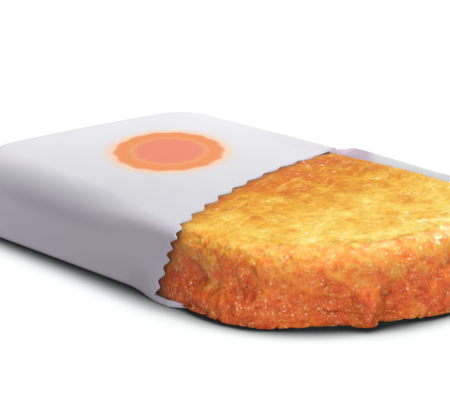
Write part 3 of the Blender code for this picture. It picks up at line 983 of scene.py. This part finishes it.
def sleeve_columns():
    """The columns round the sleeve: bottom, near wall, top and far wall, each before its fold.

    A column stands at y = a * half width + b + e * crease and z = c * height + d + f * crease, where crease
    is the share of its radius that the near upper fold keeps. Returns a, b, c, d, e and f.
    """
    corners = ((-1, 0, FOOT_RADIUS), (-1, 1, CREASE_RADIUS), (1, 1, CRISP_CREASE), (1, 0, FOOT_RADIUS))
    folds = []
    for index, (side, upper, radius) in enumerate(corners):
        angle = np.radians(270 - 90 * (index + np.linspace(0, 1, FOLD_STEPS[index] + 1)))
        y_step = radius * (np.cos(angle) - side)
        z_step = radius * (np.sin(angle) + 1 - 2 * upper)
        shrinks = index == 1
        folds.append(np.stack([
            y_step * 0 + side, y_step * (not shrinks), y_step * 0 + upper, z_step * (not shrinks),
            y_step * shrinks, z_step * shrinks,
        ]))
    columns = []
    for index, fold in enumerate(folds):
        share = np.arange(1, PANEL_STEPS[index]) / PANEL_STEPS[index]
        start, end = folds[index - 1][:, -1:], fold[:, :1]
        columns += [start + (end - start) * share, fold]
    return np.hstack(columns)


def ring_of(columns, *sizes):
    """The columns' y and z where the sleeve has these half widths, heights and creases, a row for each."""
    half_width, height, crease = (np.reshape(size, (-1, 1)) for size in sizes)
    a, b, c, d, e, f = columns
    y = a * half_width + b + e * crease
    z = c * height + d + f * crease
    return y, z + CROWN * (1 - (y / half_width) ** 2) * (z / height) ** 4


def mouth(y, z):
    """The x at which each column is cut, and whether it runs on past the cut to the lip.

    Across the bottom, which isn't cut, the same line goes straight from one side of the cut to the other.
    """
    runs_on = (z < WALL_REMNANT) | (y > CUT_FAR)
    seam, fold_y = SLEEVE_HEIGHT - MOUTH_CREASE, MOUTH_CREASE - HALF_WIDTH
    on_wall = (z < seam) | (y < fold_y)
    climbed = np.where(z < seam, z, seam + MOUTH_CREASE * np.arctan2(z - seam, fold_y - y))
    wall_teeth = pinked(climbed, WALL_REMNANT, seam + MOUTH_CREASE * math.pi / 2, WALL_TEETH)
    top_teeth = pinked(y, fold_y, CUT_FAR, TOP_TEETH)
    turned = fade(seam, MOUTH_CREASE, z)
    cut = wall_cut(z) * (1 - turned) + top_cut(y) * turned
    top_depth = TOP_PINK_DEPTH + (FAR_PINK_DEPTH - TOP_PINK_DEPTH) * fade(*FAR_PINK_FADE, y)
    cut = cut + np.where(on_wall, WALL_PINK_DEPTH * wall_teeth, top_depth * top_teeth)
    near_x = wall_cut(WALL_REMNANT) - WALL_PINK_DEPTH / 2
    far_x = top_cut(CUT_FAR) - FAR_PINK_DEPTH / 2
    under = near_x + (far_x - near_x) * (y + HALF_WIDTH) / (2 * HALF_WIDTH)
    return np.where(runs_on, under, cut), runs_on


def far_tips(y, z):
    """1 for the columns that end in a tooth's tip on the far half of the top panel, where mauve shows."""
    teeth = pinked(y, MOUTH_CREASE - HALF_WIDTH, CUT_FAR, TOP_TEETH)
    return fade(0.0, 0.2, teeth) * fade(-0.006, 0.012, y) * (z > SEAM) * (y < CUT_FAR)


def end_face(y, z):
    """The x of the shut end: a soft pillow, flush with the corners at its edges and proud between."""
    across = np.clip(np.abs(y) / (HALF_WIDTH - CORNER_RADIUS), 0, 1)
    up = np.clip(np.abs(2 * z / (SLEEVE_HEIGHT - END_DROP) - 1), 0, 1)
    return SHUT_END_X + END_BULGE * (1 - (1 - across**2) * (1 - up**2))


def foot_spread(place):
    """How far the near foot has moved out over the table, growing towards the lip and fading up the wall.

    Its rounding is straightened there, so that its face stands on the table.
    """
    x, y, z = np.moveaxis(place, -1, 0)
    lost = SPREAD_LOSS * fade(LIP_X - LIP_ROUNDING, 0.005, x)
    low = 1 - fade(0.001, 0.008, z)
    spread = FOOT_SPREAD * low * fade(SPREAD_FROM_Y, HALF_WIDTH - SPREAD_FROM_Y, -y)
    rounding = np.minimum(y + HALF_WIDTH, FOOT_RADIUS) * (z < SEAM)
    rounding *= fade(SPREAD_FROM_Y, HALF_WIDTH - FOOT_RADIUS - SPREAD_FROM_Y, -y)
    return fade(*SPREAD_FADE, x) * (1 - lost) * (spread + rounding)


def paper_waves(place):
    """How far each point is moved by slow waves, the dip at the cut and the spread of the near foot."""
    x, y, z = np.moveaxis(place, -1, 0)
    top = fade(SEAM, CREASE_RADIUS, z) * fade(0.001, 0.006, CUT_FAR - y)
    near = fade(0.002, 0.004, z) * (1 - top)
    near *= fade(0, NEAR_FACE_DEPTH, NEAR_FACE_DEPTH - HALF_WIDTH - y)
    body = fade(SHUT_END_X, WAVES_LENGTH, x)
    slow = lattice_noise(place, SLOW_WAVE, 21)
    fine = lattice_noise(place, FINE_WAVE, 22)
    crown = CROWN * (1 - (y / HALF_WIDTH) ** 2)
    dip = (MOUTH_DIP + crown) * np.exp(-np.maximum(0, top_cut(y) - x) / DIP_LENGTH)
    hump = END_HUMP * (1 - fade(*HUMP_FADE, x))
    moved = np.zeros_like(place)
    moved[..., 2] = top * (body * (TOP_WAVES[0] * slow + TOP_WAVES[1] * fine) + hump - dip)
    moved[..., 1] = -near * body * (NEAR_PUSH + NEAR_WAVES[0] * slow + NEAR_WAVES[1] * fine)
    moved[..., 1] -= foot_spread(place)
    return moved


def lip_reach(y, z):
    """The x at which the lip ends: straight, with a round near corner."""
    along = np.clip((y + HALF_WIDTH + np.maximum(0, WALL_REMNANT - z)) / LIP_ROUNDING, 0, 1)
    return LIP_X - LIP_ROUNDING * (1 - np.sqrt(1 - (1 - along) ** 2))


def sprung_open(place):
    """Where the paper has sprung open past the cut: the far fold stands up, and the near foot spreads.

    Far past the cut the arc of the fold is unrolled into an upright wall, keeping its length.
    """
    x, y, z = np.moveaxis(place.copy(), -1, 0)
    seam, fold_y = SLEEVE_HEIGHT - CRISP_CREASE, HALF_WIDTH - CRISP_CREASE
    far = (y > fold_y) & (z > seam)
    rise = LIP_RISE - LIP_FALL * fade(0, LIP_X, x)
    height = rise * CRISP_CREASE * np.arctan2(z - seam, y - fold_y)
    opened = fade(top_cut(CUT_FAR) - FAR_PINK_DEPTH / 2, OPENING_LENGTH, x) * far
    y += opened * (HALF_WIDTH + LIP_LEAN * height - y)
    z += opened * (seam + height - z)
    return np.stack([x, y - foot_spread(place), z], axis=-1)


def paper_sleeve():
    """The bag: columns from the middle of the shut end, round its corners, to the cut and on to the lip."""
    columns = sleeve_columns()
    shut_width = HALF_WIDTH - CORNER_RADIUS
    shut_height = SLEEVE_HEIGHT - END_DROP

    share = (np.arange(1, CAP_ROWS) / CAP_ROWS)[:, None]
    y, z = ring_of(columns, shut_width, shut_height, END_CREASE)
    middle = shut_height / 2
    y, z = y * share, middle + (z - middle) * share
    cap = [end_face(y, z), y, z]

    turn = np.radians(90 * np.arange(CORNER_ROWS) / CORNER_ROWS)
    grown = np.sin(turn)
    grown_width, grown_height = shut_width + CORNER_RADIUS * grown, shut_height + END_DROP * grown
    y, z = ring_of(columns, grown_width, grown_height, END_CREASE)
    corner_x = SHUT_END_X + END_BULGE + CORNER_RADIUS * (1 - np.cos(turn))
    corner = [np.broadcast_to(corner_x[:, None], y.shape), y, z]

    forward = 1 - (1 - np.arange(BODY_ROWS + 1) / BODY_ROWS) ** BODY_CROWDING
    crease = END_CREASE + (1 - END_CREASE) * fade(*END_CREASE_FADE, forward)
    crease -= (1 - MOUTH_CREASE / CREASE_RADIUS) * fade(*MOUTH_CREASE_FADE, forward)
    y, z = ring_of(columns, HALF_WIDTH, SLEEVE_HEIGHT, crease)
    cut_x, runs_on = mouth(y[-1], z[-1])
    body_x = SHUT_END_X + END_BULGE + CORNER_RADIUS
    body = [body_x + (cut_x - body_x) * forward[:, None], y, z]
    place = np.stack([np.vstack(a) for a in zip(cap, corner, body)], axis=-1)
    tips = far_tips(y[-1], z[-1]) * fade(0.0009, -0.0006, cut_x - place[..., 0])
    place += paper_waves(place)

    # the lip: only the columns that run on, which follow each other round the bottom
    first = np.flatnonzero(runs_on & ~np.roll(runs_on, 1))[0]
    lip = (first + np.arange(runs_on.sum())) % len(runs_on)
    onward = (np.arange(1, LIP_ROWS + 1) / LIP_ROWS)[:, None]
    y, z = (np.broadcast_to(a[-1, lip], (LIP_ROWS, len(lip))) for a in (y, z))
    x = cut_x[lip] + (lip_reach(y[0], z[0]) - cut_x[lip]) * onward
    lip_place = sprung_open(np.stack([x, y, z], axis=-1))

    numbers = np.arange(place[..., 0].size).reshape(place.shape[:2])
    lip_numbers = numbers.size + np.arange(x.size).reshape(x.shape)
    around = np.hstack([numbers, numbers[:, :1]])
    along_lip = np.vstack([numbers[-1, lip], lip_numbers])
    faces = np.vstack([grid_quads(around), grid_quads(along_lip)]).tolist()
    hub = [float(end_face(0, middle)), 0, middle]
    points = np.vstack([place.reshape(-1, 3), lip_place.reshape(-1, 3), [hub]])
    faces += [(len(points) - 1, a, b) for a, b in itertools.pairwise(around[0].tolist())]
    sleeve = new_piece("white_sleeve", points.tolist(), faces)
    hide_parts("paper_sleeve")
    store(sleeve, "tip", np.concatenate([tips.ravel(), np.zeros(len(points) - tips.size)]))
    for finish in (paper_finish, lining_finish, cut_edge_finish):
        sleeve.data.materials.append(finish())
    shell = thicken(sleeve, PAPER)
    shell.material_offset = 1
    shell.material_offset_rim = 2
    # the thickness is made final here, so that the shading can be hard along the cut edge
    bpy.context.view_layer.update()
    walls = bpy.data.meshes.new_from_object(sleeve.evaluated_get(bpy.context.evaluated_depsgraph_get()))
    sleeve.modifiers.clear()
    sleeve.data = walls
    sleeve.data.set_sharp_from_angle(angle=math.radians(HARD_EDGE))


def thicken(sheet, thickness):
    """Gives a sheet its thickness, inwards from its outer face."""
    shell = sheet.modifiers.new("paper", "SOLIDIFY")
    shell.thickness = thickness
    shell.offset = -1
    return shell


def end_flap():
    """The flap that shuts the bag: a sheet that is folded up from the bottom and glued to the end face."""
    marks = np.linspace(0, 1, FLAP_CELLS + 1)
    across, up = np.meshgrid(2 * marks - 1, marks, indexing="ij")
    y = across * (FLAP_HALF_WIDTH - FLAP_TAPER * up)
    z = FLAP_FOOT + (FLAP_TOP - FLAP_FOOT) * up
    sheet = np.stack([end_face(y, z) - FLAP_GAP, y, z], axis=-1)
    numbers = np.arange(y.size).reshape(y.shape)
    flap = new_piece("end_flap", sheet.reshape(-1, 3).tolist(), grid_quads(numbers)[:, ::-1].tolist())
    flap.data.materials.append(bpy.data.materials["white_paper"])
    thicken(flap, FLAP_PAPER)


camera()
studio()
white_table()
hash_brown()
paper_sleeve()
end_flap()
bpy.context.view_layer.update()
